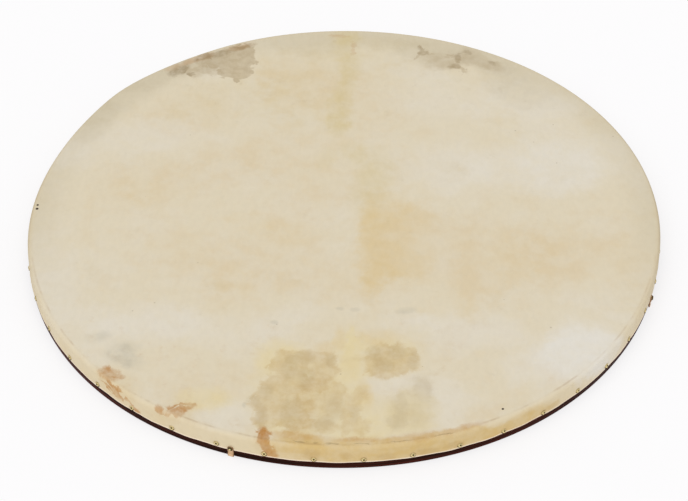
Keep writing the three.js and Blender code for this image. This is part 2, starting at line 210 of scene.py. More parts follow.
STAINS = (
    Stain("thin places on the right", "pale", 0.65, 1.7, 22, 0.5, (
        (282, -205, 100, 85, -35), (290, 115, 105, 85, 10), (235, 100, 90, 70), (215, -250, 60, 45),
        (120, 230, 80, 70), (235, 230, 90, 60, -35), (140, 90, 70, 90), (265, -225, 60, 40))),
    Stain("whitish places at the front", "pale", 0.8, 1.1, 14, 0.4, (
        (280, -212, 70, 46, -38), (255, -238, 50, 36, -38))),
    Stain("thin places on the left", "pale", 0.55, 1.6, 20, 0.5, (
        (-285, -208, 80, 50, -40), (-335, 120, 50, 60), (-340, -110, 40, 90, 10), (-45, -168, 50, 22),
        (78, -178, 45, 22), (112, -300, 40, 62, 10), (-125, -335, 34, 30, 20), (-130, -200, 120, 40),
        (150, -195, 90, 40), (62, -285, 30, 22), (-230, -180, 90, 40), (-230, 150, 90, 50))),
    Stain("warm clouds", "straw", 0.75, 1.7, 24, 0.65, (
        (205, -70, 95, 80), (250, -45, 80, 60), (-70, -30, 75, 65), (-250, 45, 90, 70),
        (-130, -110, 80, 70), (-190, -60, 80, 60), (150, -120, 60, 60), (-150, -285, 80, 40, 20),
        (-55, 265, 90, 90), (-75, 130, 90, 60), (20, 220, 70, 110), (-160, 90, 90, 60), (150, -20, 60, 50),
        (330, -60, 50, 90), (170, -315, 60, 24, 30), (-5, -110, 120, 60), (-200, 200, 90, 70, 20),
        (-30, 60, 80, 60), (-60, 255, 55, 60), (-95, 285, 34, 40))),
    Stain("warm left of the middle", "amber", 0.3, 1.4, 18, 0.7, (
        (-70, -30, 45, 40), (-120, -10, 40, 24), (215, -65, 60, 50), (-125, -130, 30, 50, 10),
        (-250, 40, 40, 40), (140, -150, 20, 46, 10))),
    Stain("dusky back rim", "dusk", 0.6, 1.4, 14, 0.5, (
        (-285, 232, 95, 40, 42), (-250, 280, 60, 34, 38), (-320, 170, 60, 30, 60), (215, 262, 70, 46, -38),
        (-45, 345, 70, 34), (70, 350, 90, 30, -8), (180, 320, 60, 30, -30), (110, 326, 56, 30, -14),
        (-190, 300, 60, 30, 28))),
    Stain("yellow wash at the back", "sand", 0.28, 1.8, 22, 0.5, (
        (-70, 300, 110, 80), (-160, 225, 110, 60, 20), (40, 330, 110, 55), (-50, 200, 90, 60))),
    Stain("spine", "sand", 0.7, 1.9, 14, 0.45, (
        (-8, 370, 34, 30), (-1, 335, 25, 62), (3, 285, 20, 52), (-8, 240, 22, 40), (-10, 195, 25, 60),
        (6, 125, 24, 28), (35, 100, 34, 50), (32, 40, 36, 60), (-26, 110, 18, 34), (-12, 180, 18, 30))),
    Stain("reddish marks on the spine", "rust", 0.26, 0.9, 5, 0.5, (
        (7, 346, 5, 9), (6, 331, 4, 9), (-12, 366, 18, 5))),
    Stain("warm patch beside the spine", "amber", 0.62, 1.9, 16, 0.4, (
        (38, -78, 34, 60), (44, -40, 38, 70), (66, -36, 54, 70), (28, -5, 20, 44), (76, -92, 46, 36),
        (30, -125, 17, 34), (84, 2, 40, 34), (52, 26, 40, 30))),
    Stain("middle of the warm patch", "amber", 0.55, 1.5, 14, 0.4, (
        (40, -78, 33, 48), (58, -60, 34, 34), (27, -14, 15, 38), (50, -4, 34, 24), (34, -110, 18, 26),
        (72, -96, 26, 20))),
    Stain("warm wash right of the patch", "straw", 0.6, 1.3, 14, 0.6, (
        (95, -50, 70, 80), (145, -90, 40, 60), (240, -80, 60, 60))),
    Stain("wash of the front patch", "wheat", 0.75, 1.1, 12, 0.4, (
        (-45, -292, 75, 80), (8, -250, 30, 80), (78, -322, 34, 44), (50, -236, 52, 42),
        (-72, -240, 36, 34), (20, -335, 55, 42), (-150, -310, 40, 26), (-40, -352, 62, 18),
        (45, -352, 60, 16, 6))),
    Stain("warm top of the front patch", "amber", 0.5, 1.0, 6, 0.5, (
        (-4, -208, 10, 26), (40, -206, 34, 18), (-20, -225, 18, 14), (26, -300, 12, 30, 10))),
    Stain("front patch, left lobe", "camel", 0.5, 0.75, 9, 0.45, (
        (-54, -256, 22, 30), (-58, -282, 26, 18), (-40, -240, 24, 15), (-88, -302, 13, 20, -20),
        (-64, -238, 13, 13), (-74, -256, 11, 14), (-80, -318, 16, 16), (-80, -280, 13, 14),
        (-97, -315, 9, 11), (-86, -336, 12, 30, 8), (-54, -326, 28, 34), (-50, -345, 28, 16),
        (-74, -290, 18, 18), (-15, -242, 10, 16), (-20, -262, 18, 22), (-30, -285, 20, 16))),
    Stain("front patch, right lobe", "camel", 0.5, 0.75, 8, 0.45, (
        (44, -241, 21, 28), (62, -233, 22, 20), (77, -244, 12, 22), (42, -262, 18, 14),
        (60, -258, 14, 13))),
    Stain("brown streaks of the front patch", "camel", 0.42, 0.8, 6, 0.5, (
        (13, -322, 11, 28), (22, -298, 10, 15), (4, -345, 5, 28), (-4, -290, 10, 12), (-25, -305, 40, 40),
        (-30, -350, 40, 14), (20, -350, 14, 16))),
    Stain("dark cores of the front patch", "umber", 0.16, 1.1, 7, 0.5, (
        (-59, -262, 14, 26), (-40, -275, 12, 24), (-46, -242, 20, 14), (-97, -312, 10, 12),
        (-89, -332, 9, 26, 8), (-55, -330, 18, 32), (-84, -297, 12, 15), (60, -231, 15, 14),
        (79, -243, 8, 20), (36, -232, 12, 16), (46, -252, 15, 14), (14, -328, 7, 18), (-14, -246, 8, 16))),
    Stain("yellow gap of the front patch", "wheat", 0.7, 0.9, 5, 0.3, (
        (9, -255, 15, 36), (9, -212, 7, 28))),
    Stain("grey shade on the front patch", "olive", 0.42, 1.4, 11, 0.5, (
        (82, -318, 28, 52), (60, -325, 15, 38), (60, -343, 14, 12), (-22, -346, 18, 16),
        (-8, -322, 18, 30), (90, -285, 14, 26))),
    Stain("grey patch at the back left", "olive", 0.78, 0.35, 6, 0.35, (
        (-143, 294, 22, 28), (-134, 284, 12, 15), (-156, 281, 14, 12), (-132, 318, 12, 24),
        (-158, 312, 24, 16, 20), (-184, 306, 16, 10, 25), (-145, 330, 24, 13, 24), (-143, 268, 5, 9),
        (-124, 303, 7, 5), (-126, 286, 7, 6), (-172, 298, 12, 10))),
    Stain("thin left of the back left patch", "olive", 0.64, 0.8, 7, 0.6, (
        (-183, 291, 18, 12, 10), (-196, 281, 14, 11), (-172, 283, 14, 10), (-215, 290, 20, 12, 30))),
    Stain("warm edge of the back left patch", "rust", 0.34, 1.1, 6, 0.5, (
        (-186, 315, 22, 9, 30), (-140, 338, 26, 8, 22), (-205, 304, 18, 7, 38), (-226, 290, 16, 8, 36))),
    Stain("dark edge of the back left patch", "umber", 0.48, 0.95, 6, 0.55, (
        (-188, 313, 20, 8, 30), (-138, 337, 22, 7, 22), (-220, 281, 14, 11, 30), (-203, 277, 6, 7),
        (-212, 290, 12, 8, 38), (-168, 320, 22, 8, 28))),
    Stain("grey patch at the back right", "olive", 0.62, 0.85, 7, 0.5, (
        (140, 304, 14, 8, -22), (143, 318, 5, 15, 8), (149, 295, 4, 9), (133, 326, 11, 4), (97, 333, 8, 9),
        (92, 342, 3, 8, 20), (105, 330, 9, 3), (91, 322, 3, 10, -28))),
    Stain("smear right of it", "olive", 0.6, 1.2, 8, 0.5, (
        (170, 316, 34, 18, -26), (192, 302, 18, 14, -30), (126, 316, 38, 26), (160, 332, 24, 14, -28))),
    Stain("specks of the back right patch", "umber", 0.36, 0.9, 5, 0.55, (
        (97, 333, 8, 9), (138, 304, 12, 8), (144, 322, 6, 13), (155, 333, 10, 6, -20),
        (187, 313, 8, 4, -30), (92, 341, 4, 8, 20))),
    Stain("rubbed place at the front left", "smoke", 0.55, 1.3, 6, 0.7, (
        (-247, -238, 27, 29), (-233, -256, 17, 16), (-278, -214, 22, 12, 20), (-250, -240, 16, 18))),
    Stain("small rubbed marks", "smoke", 0.5, 1.1, 4, 0.5, (
        (72, -162, 16, 8, 8), (14, -161, 9, 5), (-4, -160, 7, 4), (-107, -319, 3.5, 6),
        (-79, -185, 6, 5, -30))),
    Stain("warm ground of the orange stains", "honey", 0.36, 1.4, 10, 0.4, (
        (-250, -290, 42, 30, -36), (-186, -330, 46, 22, 16), (-84, -378, 22, 24))),
    Stain("orange stain at the front left", "rust", 0.78, 0.95, 8, 0.55, (
        (-258, -274, 20, 13, -34), (-252, -299, 4, 28, 28), (-264, -292, 4, 20, 40),
        (-240, -326, 5, 12, 20))),
    Stain("orange stain left of the front", "rust", 0.82, 0.9, 8, 0.55, (
        (-182, -330, 16, 10, 14), (-202, -326, 7, 11, 20), (-172, -324, 14, 7, 10))),
    Stain("orange stain at the front", "rust", 0.9, 0.95, 6, 0.35, (
        (-84, -372, 9, 28, 10), (-80, -392, 10, 22), (-83, -366, 9, 14))),
    Stain("warm tan of the front rim", "honey", 0.88, 1.1, 7, 0.4, (
        (15, -376, 125, 16), (85, -366, 60, 11, 11), (120, -360, 50, 14, 18), (-48, -366, 32, 12, -6),
        (10, -392, 110, 20), (150, -362, 70, 18, 24), (5, -385, 5, 20), (210, -330, 60, 18, 34))),
    Stain("smudges on the side", "camel", 0.75, 1.0, 6, 0.5, (
        (6, -392, 11, 7), (-34, -390, 14, 12), (52, -392, 14, 8), (100, -383, 18, 8, 12),
        (243, -306, 14, 6, 38), (128, -372, 16, 6, 18))),
    Stain("dark specks", "ink", 0.97, 0.4, 0.6, 0.0, (
        (-370.1, 13.4, 1.6, 1.7), (-370.2, 6.5, 2.1, 2.2), (177.1, -317.7, 1.6, 1.6))),
    Stain("red tinge along the crease", "rust", 0.46, 1.3, 7, 0.6, (
        (-50, -364, 40, 9, -8), (85, -361, 60, 9, 12), (15, -369, 30, 6), (135, -347, 30, 6, 20))),
    Stain("dark marks along the crease", "umber", 0.5, 0.8, 2.2, 0.7, (
        (-44, -372.8, 13, 1.2, -6), (-28, -374, 4, 2.0), (-13, -375, 6, 2.0), (-6, -375.4, 4, 1.6),
        (22, -374.8, 12, 0.9, 2), (66, -369.5, 16, 0.9, 9), (112, -358, 14, 0.9, 16))),
)

# Zones of the hide, in millimetres. Each has a material that holds only the stains that reach into it,
# which keeps the shading quick. A face belongs to the first zone that its middle lies in.
Zone = namedtuple("Zone", "name left right front back")
FAR = 500
ZONES = (
    Zone("front_middle", -130, 125, -FAR, -185),
    Zone("front_left", -FAR, -130, -FAR, -185),
    Zone("front_right", 125, FAR, -FAR, -185),
    Zone("middle", -FAR, FAR, -185, 195),
    Zone("back", -FAR, FAR, 195, FAR),
)
ZONE_MARGIN = 14

# How strongly noise frays a stain's edge, where the edge starts, and from which edge on a stain is soft.
FRAY = 0.9
EDGE_START = 0.02
SOFT_EDGE = 1.0

# Local bends of the rim at the back left: a slight corner between two flatter stretches. Each is its angle
# and width in degrees and its rise in millimetres.
RIM_BENDS = ((-130, 7, 2.2), (-109, 16, -2.4), (-148, 9, -1.3))

# Relief of the skin. The tuck at the front left runs from the fold down to a tack, on the flat hide. The
# crease's place is how far past the start of the fold it runs. Puckers start at a share of the way from the
# fold to the cut edge.
TUCK_START = np.array((-258, -281)) * MM
TUCK_END = np.array((-238, -331)) * MM
TUCK_RISE = 0.55 * MM
TUCK_WIDTH = 1.7 * MM
CREASE_PLACE = 0.5 * MM
CREASE_DEPTH = 0.14 * MM
CREASE_WIDTH = 0.9 * MM
TACK_DENT = 0.32 * MM
DENT_WIDTH = 3.2 * MM
PUCKER_START = 0.3
PUCKER_RISE = 0.3 * MM
PLEAT_RISE = 0.1 * MM
PLEAT_SEED = 4
EDGE_WANDER = 0.4 * MM
EDGE_REACH = 8 * MM
EDGE_SEED = 7

# How finely the hoop and the head are divided: steps around the rim for each tack, and rows of the head. The
# even rows of its top end short of the fold, and closer ones follow, by their distances from the fold.
HOOP_STEPS = 8
HEAD_STEPS = 10
TOP_ROWS = 42
TOP_END = 14 * MM
NEAR_FOLD = np.array((9, 6, 4, 2.6, 1.6, 0.8, 0)) * MM
FOLD_ROWS = 10
SIDE_ROWS = 20
LIP_ROWS = 6
INNER_SIDE_ROWS = 5
INNER_FOLD_ROWS = 6
INNER_TOP_ROWS = 26

# How the tacks are driven in: their tilt, how far hammering moved their faces, how far a head sinks into the
# skin, and the seeds of the tilts.
TACK_TILT = math.radians(4)
TACK_HAMMERING = 0.5 * MM
TACK_SINK = 0.1 * MM
TACK_SEED = 11
TAB_TACK_SEED = 3

# The tabs' fit: their gap to what lies under them, how far the bottom curls, the tack presses and the middle
# rises, the lengths that the climb over the skin's edge, the curl and the press take, the length of the
# rounded ends and the share of the width that they keep, and how finely the tabs are divided.
TAB_GAP = 0.1 * MM
TAB_CURL = 0.35 * MM
TAB_PRESS = 0.25 * MM
TAB_CROWN = 0.2 * MM
TAB_CLIMB_LENGTH = 3 * MM
TAB_CURL_LENGTH = 3 * MM
TAB_PRESS_LENGTH = 2.5 * MM
TAB_ROUND = 1.1 * MM
TAB_END_WIDTH = 0.72
TAB_LEAST = 0.02 * MM
TAB_ROWS = 26
TAB_STEPS = 24

# The stage: the camera's sensor in millimetres, the floor's gap under the hoop, and the key light's spread
# and its tilt forward and sideways.
SENSOR_WIDTH = 36
FLOOR_GAP = 0.2 * MM
KEY_SPREAD = math.radians(70)
KEY_FORWARD = math.radians(28)
KEY_SIDEWAYS = math.radians(-12)


def set_inputs(tree, node, inputs):
    """Fills a node's inputs, by name or by number, with a link to a socket or with a value."""
    for key, value in inputs.items():
        if isinstance(value, bpy.types.NodeSocket):
            tree.links.new(value, node.inputs[key])
        else:
            node.inputs[key].default_value = value


def add(tree, kind, inputs=None, **settings):
    """Adds a node, sets its options and fills its inputs."""
    node = tree.nodes.new(kind)
    for name, value in settings.items():
        setattr(node, name, value)
    set_inputs(tree, node, inputs or {})
    return node


def make(tree, kind, inputs=None, **settings):
    """Adds a node and gives its first output."""
    return add(tree, kind, inputs, **settings).outputs[0]


def calc(tree, operation, *values, **settings):
    """A Math node's result."""
    return make(tree, "ShaderNodeMath", dict(enumerate(values)), operation=operation, **settings)


def times(tree, first, second):
    """A product."""
    return calc(tree, "MULTIPLY", first, second)


def plus(tree, first, second):
    """A sum."""
    return calc(tree, "ADD", first, second)


def minus(tree, first, second):
    """A difference."""
    return calc(tree, "SUBTRACT", first, second)


def move(tree, operation, *values):
    """A Vector Math node's vector."""
    return make(tree, "ShaderNodeVectorMath", dict(enumerate(values)), operation=operation)


def stretch(tree, place, *factors):
    """A place with each axis scaled."""
    return move(tree, "MULTIPLY", place, factors)


def scaled(tree, vector, factor):
    """A vector with all its axes scaled alike."""
    return make(tree, "ShaderNodeVectorMath", {0: vector, "Scale": factor}, operation="SCALE")


def measure(tree, vector):
    """A vector's length."""
    return add(tree, "ShaderNodeVectorMath", {0: vector}, operation="LENGTH").outputs["Value"]


def split(tree, vector):
    """A vector's X, Y and Z."""
    return add(tree, "ShaderNodeSeparateXYZ", {0: vector}).outputs


def combine(tree, x=0.0, y=0.0, z=0.0):
    """A vector from its X, Y and Z."""
    return make(tree, "ShaderNodeCombineXYZ", {0: x, 1: y, 2: z})


def channel(tree, shade, name):
    """One channel of a colour."""
    return add(tree, "ShaderNodeSeparateColor", {0: shade}).outputs[name]


def ramp(tree, value, low, high, first=0.0, last=1.0):
    """Runs smoothly from first to last as a value goes from low to high."""
    inputs = {"Value": value, "From Min": low, "From Max": high, "To Min": first, "To Max": last}
    return make(tree, "ShaderNodeMapRange", inputs, interpolation_type="SMOOTHSTEP")


def mix(tree, share, under, over, way="MIX"):
    """Lays one colour over another by a share."""
    node = add(tree, "ShaderNodeMix", {0: share, 6: under, 7: over}, data_type="RGBA", blend_type=way)
    return node.outputs[2]


def noise(tree, place, scale, detail, roughness, distortion=0.0, wanted=0):
    """A noise pattern's value, or the output that is wanted."""
    inputs = {"Vector": place, "Scale": scale, "Detail": detail, "Roughness": roughness}
    return add(tree, "ShaderNodeTexNoise", {**inputs, "Distortion": distortion}).outputs[wanted]


def cells(tree, place, scale):
    """Random cells: each one's colour, and the distance to its middle."""
    node = add(tree, "ShaderNodeTexVoronoi", {"Vector": place, "Scale": scale})
    return node.outputs["Color"], node.outputs["Distance"]


def own_attribute(tree, name, wanted="Vector"):
    """A piece's own attribute."""
    return add(tree, "ShaderNodeAttribute", attribute_name=name).outputs[wanted]


def object_place(tree):
    """The place in the piece's own frame."""
    return add(tree, "ShaderNodeTexCoord").outputs["Object"]


def relief(tree, height, share, distance):
    """The normal of fine relief from a height."""
    return make(tree, "ShaderNodeBump", {"Height": height, "Strength": share, "Distance": distance})


def new_material(name):
    """A material with one Principled shader. Returns the material, its tree and the shader."""
    material = bpy.data.materials.new(name)
    material.use_nodes = True
    tree = material.node_tree
    return material, tree, tree.nodes["Principled BSDF"]


def blob_field(tree, place, blob):
    """A blob's field: 1 in its middle, falling to 0 at its rim. The place's Z is 1."""
    x, y, half_x, half_y, *turns = blob
    turn = math.radians(sum(turns))
    cosine, sine = math.cos(turn), math.sin(turn)
    squares = 0.0
    for side_x, side_y, half in ((cosine, sine, half_x), (-sine, cosine, half_y)):
        row = (side_x / (half * MM), side_y / (half * MM), -(x * side_x + y * side_y) / half)
        node = add(tree, "ShaderNodeVectorMath", {0: place, 1: row}, operation="DOT_PRODUCT")
        off = node.outputs["Value"]
        squares = calc(tree, "MULTIPLY_ADD", off, off, squares)
    return calc(tree, "SUBTRACT", 1.0, squares, use_clamp=True)


def stain_mask(tree, stain, blobs, flat, wander, fray):
    """The mask of a stain whose blobs run together, with a ragged edge."""
    place = move(tree, "ADD", flat, scaled(tree, wander, stain.ragged * MM))
    field = 0.0
    for blob in blobs:
        field = plus(tree, field, blob_field(tree, place, blob))
    frayed = calc(tree, "MULTIPLY_ADD", fray, stain.edge * FRAY, field)
    return ramp(tree, frayed, EDGE_START, stain.edge)


def in_zone(blob, ragged, zone):
    """Whether a blob, with its ragged edge, reaches into a zone."""
    x, y, half_x, half_y = blob[:4]
    reach = max(half_x, half_y) + ragged + ZONE_MARGIN
    return zone.left - reach < x < zone.right + reach and zone.front - reach < y < zone.back + reach


def stained(tree, colours, zone, shade, flat, cloud, mottle):
    """The hide's shade with the stains that reach into a zone. Crisp stains have notched, frayed edges."""
    edge_noise = noise(tree, flat, 60, 6, 0.75, wanted="Color")
    wander = move(tree, "MULTIPLY_ADD", edge_noise, (2, 2, 0), (-1, -1, 0))
    flakes, _ = cells(tree, flat, 105)
    notches = move(tree, "MULTIPLY_ADD", flakes, (0.75, 0.75, 0), (-0.375, -0.375, 0))
    notched = move(tree, "ADD", notches, wander)
    fray = minus(tree, channel(tree, edge_noise, "Blue"), 0.5)
    billow = minus(tree, cloud, 0.5)
    patch = noise(tree, flat, 85, 4, 0.65)
    for stain in STAINS:
        blobs = [blob for blob in stain.blobs if in_zone(blob, stain.ragged, zone)]
        if blobs:
            soft = stain.edge >= SOFT_EDGE
            drift, edge, gaps = (wander, billow, mottle) if soft else (notched, fray, patch)
            mask = stain_mask(tree, stain, blobs, flat, drift, edge)
            thinned = stain.strength * (1 - stain.patchy)
            thin = ramp(tree, gaps, 0.34, 0.66, thinned, stain.strength)
            shade = mix(tree, times(tree, mask, thin), shade, getattr(colours, stain.colour))
    return shade


def rim_angle(tree, place):
    """The angle around the rim, from the front towards +X."""
    x, y, _ = split(tree, place)
    return calc(tree, "ARCTAN2", x, times(tree, y, -1.0))


def tack_distance(tree, sizes, hide, past_fold):
    """The distance on the skin to the nearest tack's middle."""
    step = 2 * math.pi / sizes.tack_count
    turns = calc(tree, "DIVIDE", minus(tree, rim_angle(tree, hide), sizes.tack_first), step)
    off = minus(tree, turns, calc(tree, "ROUND", turns))
    along = times(tree, off, step * sizes.radius)
    down = minus(tree, past_fold, fold_reach(sizes, sizes.tack_height))
    return measure(tree, combine(tree, along, down))


def rawhide_material(sizes, colours, zone):
    """The head's outer face in a zone: cream hide with clouds, stains, painted shade near the back rim, a
    crease line, dirt and painted shade at the tacks, and a painted highlight at the cut edge.
    """
    material, tree, shader = new_material(f"rawhide_{zone.name}")
    hide = own_attribute(tree, "hide")
    _, depth, past_fold = split(tree, hide)
    flat = move(tree, "MULTIPLY_ADD", hide, (1, 1, 0), (0, 0, 1))
    cloud = noise(tree, flat, 14, 6, 0.62, 0.4)
    mottle = noise(tree, flat, 38, 5, 0.6)
    fibre = noise(tree, stretch(tree, flat, 1, 0.5, 1), 170, 3, 0.6)

    shade = mix(tree, ramp(tree, cloud, 0.42, 0.66, 0, 0.25), colours.cream, colours.pale)
    shade = mix(tree, ramp(tree, mottle, 0.46, 0.7, 0, 0.3), shade, colours.straw)
    to_back = ramp(tree, depth, -200 * MM, 20 * MM)
    # Painted shade: dusk laid near the rim, growing from the sides round to the back.
    painted_rim_shade = times(tree, ramp(tree, past_fold, -50 * MM, 4 * MM, 0, 0.4), to_back)
    shade = mix(tree, painted_rim_shade, shade, colours.dusk)
    shade = mix(tree, ramp(tree, past_fold, -4 * MM, 9 * MM, 0, 0.5), shade, colours.side_tan)
    # Painted shade: olive laid over the fold where it turns down, from the sides round to the back.
    turned = times(tree, ramp(tree, past_fold, 0.5 * MM, 5 * MM, 0, 0.6), to_back)
    shade = mix(tree, turned, shade, colours.olive)
    shade = stained(tree, colours, zone, shade, flat, cloud, mottle)

    grain = ramp(tree, fibre, 0.3, 0.7, 0.985, 1.015)
    grain_grey = make(tree, "ShaderNodeCombineColor", {0: grain, 1: grain, 2: grain})
    shade = mix(tree, 1.0, shade, grain_grey, "MULTIPLY")

    # A darker line along the fold's crease: painted shade in the crease and the crease's own brown colour,
    # fading out towards the back.
    off_crease = calc(tree, "ABSOLUTE", minus(tree, past_fold, CREASE_PLACE))
    line = ramp(tree, off_crease, 1.9 * MM, 0.3 * MM)
    crease = times(tree, line, ramp(tree, mottle, 0.42, 0.65, 0.03, 0.3))
    crease = times(tree, crease, minus(tree, 1.0, to_back))
    shade = mix(tree, crease, shade, colours.crease)

    pore, to_pore = cells(tree, flat, 42)
    pore_size = ramp(tree, channel(tree, pore, "Red"), 0.55, 1.0, 0.01, 0.055)
    speck = times(tree, calc(tree, "LESS_THAN", to_pore, pore_size), 0.28)
    shade = mix(tree, speck, shade, colours.umber)

    # Dirt and painted shade darken the skin in a ring around each tack.
    to_tack = tack_distance(tree, sizes, hide, past_fold)
    tack_dirt_and_shade = ramp(tree, to_tack, sizes.tack_radius + 2.2 * MM, sizes.tack_radius - 0.3 * MM, 0, 0.16)
    shade = mix(tree, tack_dirt_and_shade, shade, colours.crease)
    # A pale band just above the cut edge: the cut edge's own paler colour and a painted highlight along it.
    edge = fold_reach(sizes, sizes.skin_edge)
    rim = ramp(tree, past_fold, edge - 2.6 * MM, edge - 1.0 * MM, 0, 0.85)
    look = {
        "Base Color": mix(tree, rim, shade, colours.cut_edge_and_highlight),
        "Roughness": ramp(tree, mottle, 0.3, 0.7, 0.52, 0.66),
        "Specular IOR Level": 0.14,
        "Normal": relief(tree, fibre, 0.2, 0.4 * MM),
    }
    set_inputs(tree, shader, look)
    return material


def flesh_material(colours):
    """The head's inner face: a plainer, slightly fuzzy flesh side."""
    material, tree, shader = new_material("rawhide_flesh_side")
    flat = stretch(tree, own_attribute(tree, "hide"), 1, 1, 0)
    cloud = noise(tree, flat, 9, 5, 0.6, 0.6)
    fuzz = noise(tree, stretch(tree, flat, 1, 0.35, 1), 160, 4, 0.65)
    shade = mix(tree, ramp(tree, cloud, 0.35, 0.68), colours.flesh_side, colours.cream)
    shade = mix(tree, ramp(tree, fuzz, 0.45, 0.75, 0, 0.4), shade, colours.camel)
    look = {"Base Color": shade, "Roughness": 0.8, "Normal": relief(tree, fuzz, 0.4, 0.6 * MM)}
    set_inputs(tree, shader, look)
    return material


def wood_material(colours):
    """Dark mahogany stain, with the grain along the bent hoop and a few chips at its foot."""
    material, tree, shader = new_material("stained_wood")
    place = object_place(tree)
    x, y, z = split(tree, place)
    out = measure(tree, stretch(tree, place, 1, 1, 0))
    across = plus(tree, z, times(tree, out, 0.8))
    grain_place = stretch(tree, combine(tree, x, y, across), 5, 5, 260)
    grain = noise(tree, grain_place, 1.0, 5, 0.6, 0.35)
    pores = noise(tree, stretch(tree, grain_place, 4, 4, 3), 1.0, 3, 0.6)
    shade = mix(tree, ramp(tree, grain, 0.36, 0.68), colours.wood_dark, colours.wood_red)
    shade = mix(tree, ramp(tree, pores, 0.56, 0.7, 0, 0.7), shade, colours.wood_dark)
    mark_share = ramp(tree, noise(tree, place, 60, 4, 0.7), 0.68, 0.74, 0, 0.5)
    chip = times(tree, ramp(tree, z, 1.6 * MM, 0.2 * MM), mark_share)
    look = {
        "Base Color": mix(tree, chip, shade, colours.wood_bare),
        "Roughness": ramp(tree, grain, 0.3, 0.7, 0.62, 0.48),
        "Specular IOR Level": 0.04,
        "Normal": relief(tree, pores, 0.2, 0.3 * MM),
    }
    set_inputs(tree, shader, look)
    return material


def brass_material(colours, name, dark_rim_all_round):
    """Brass of random uneven tone: either darker all round its rim with a bright middle, or with painted
    shade along its lower rim and a painted dark reflection in one spot.
    """
    material, tree, shader = new_material(name)
    face = own_attribute(tree, "face")
    spots = noise(tree, object_place(tree), 900, 4, 0.7)
    uneven = times(tree, minus(tree, spots, 0.5), 0.4)
    out = plus(tree, measure(tree, face), uneven)
    if dark_rim_all_round:
        dark = ramp(tree, out, 0.25, 0.55, 0.05, 0.95)
    else:
        # Painted shade along the lower rim of the dome.
        up = plus(tree, split(tree, face)["Y"], uneven)
        painted_lower_shade = times(tree, ramp(tree, out, 0.45, 0.75), ramp(tree, up, 0.15, -0.3, 0.3, 1.0))
        # A painted dark reflection in a spot above the dome's middle.
        to_painted_reflection = measure(tree, move(tree, "SUBTRACT", face, (0.08, 0.28, 0)))
        dark = calc(tree, "MAXIMUM", painted_lower_shade, ramp(tree, to_painted_reflection, 0.48, 0.26, 0, 0.97))
    look = {
        "Base Color": mix(tree, dark, colours.brass, colours.tarnish_and_shade),
        "Roughness": ramp(tree, dark, 0.1, 0.9, 0.3, 0.6),
        "Metallic": 1.0,
        "Normal": relief(tree, spots, 0.25, 0.2 * MM),
    }
    set_inputs(tree, shader, look)
    return material


def leather_material(colours):
    """Undyed tan leather, darker towards its side edges and in clouds."""
    material, tree, shader = new_material("tan_leather")
    rim = own_attribute(tree, "rim", "Fac")
    place = object_place(tree)
    grain = noise(tree, place, 700, 5, 0.65)
    cloud = noise(tree, place, 160, 3, 0.5)
    # Darker towards the tab's side edges and in clouds.
    mark_share = plus(tree, ramp(tree, rim, 0.55, 1.0, 0, 0.75), ramp(tree, cloud, 0.4, 0.7, 0, 0.35))
    shade = mix(tree, mark_share, colours.leather, colours.leather_dark)
    shade = mix(tree, ramp(tree, grain, 0.5, 0.75, 0, 0.3), shade, colours.leather_dark)
    look = {"Base Color": shade, "Roughness": 0.72, "Normal": relief(tree, grain, 0.4, 0.3 * MM)}
    set_inputs(tree, shader, look)
    return material


def rim_waves(sizes):
    """The waves that draw the hand-bent rim out of round: lobes, height and the angle of a crest."""
    return (
        (2, sizes.swell_two, sizes.crest_two),
        (3, sizes.swell_three, sizes.crest_three),
        (4, sizes.swell_four, sizes.crest_four),
    )


def rim_bends():
    """The local bends, in radians and metres."""
    return [(math.radians(middle), math.radians(width), rise * MM) for middle, width, rise in RIM_BENDS]


def swell(sizes, around):
    """How far the rim lies outside or inside a true circle at an angle, as a factor."""
    factor = 1.0
    for lobes, rise, crest in rim_waves(sizes):
        factor = factor + rise / sizes.radius * np.cos(lobes * (around - crest))
    for middle, width, rise in rim_bends():
        off = (around - middle + math.pi) % (2 * math.pi) - math.pi
        factor = factor + rise / sizes.radius * np.exp(-((off / width) ** 2))
    return factor


def fold_reach(sizes, height):
    """How far past the start of the fold the skin's side is at a height, measured along the hide."""
    arc = sizes.fold_radius * math.pi / 2
    return arc + sizes.height - sizes.fold_radius - height


def new_tree(name, sizes, counts):
    """A geometry tree with named inputs and a material. Returns the tree and the inputs' sockets by name."""
    tree = bpy.data.node_groups.new(name, "GeometryNodeTree")
    kinds = {**dict.fromkeys(sizes, "Float"), **dict.fromkeys(counts, "Int"), "Material": "Material"}
    for label, kind in kinds.items():
        tree.interface.new_socket(label, in_out="INPUT", socket_type=f"NodeSocket{kind}")
    tree.interface.new_socket("Geometry", in_out="OUTPUT", socket_type="NodeSocketGeometry")
    return tree, tree.nodes.new("NodeGroupInput").outputs


def end_tree(tree, geometry, material):
    """Ends a tree: real geometry, smooth faces and the material."""
    real = make(tree, "GeometryNodeRealizeInstances", {0: geometry})
    smooth = make(tree, "GeometryNodeSetShadeSmooth", {"Geometry": real})
    made = make(tree, "GeometryNodeSetMaterial", {"Geometry": smooth, "Material": material})
    tree.links.new(made, tree.nodes.new("NodeGroupOutput").inputs[0])


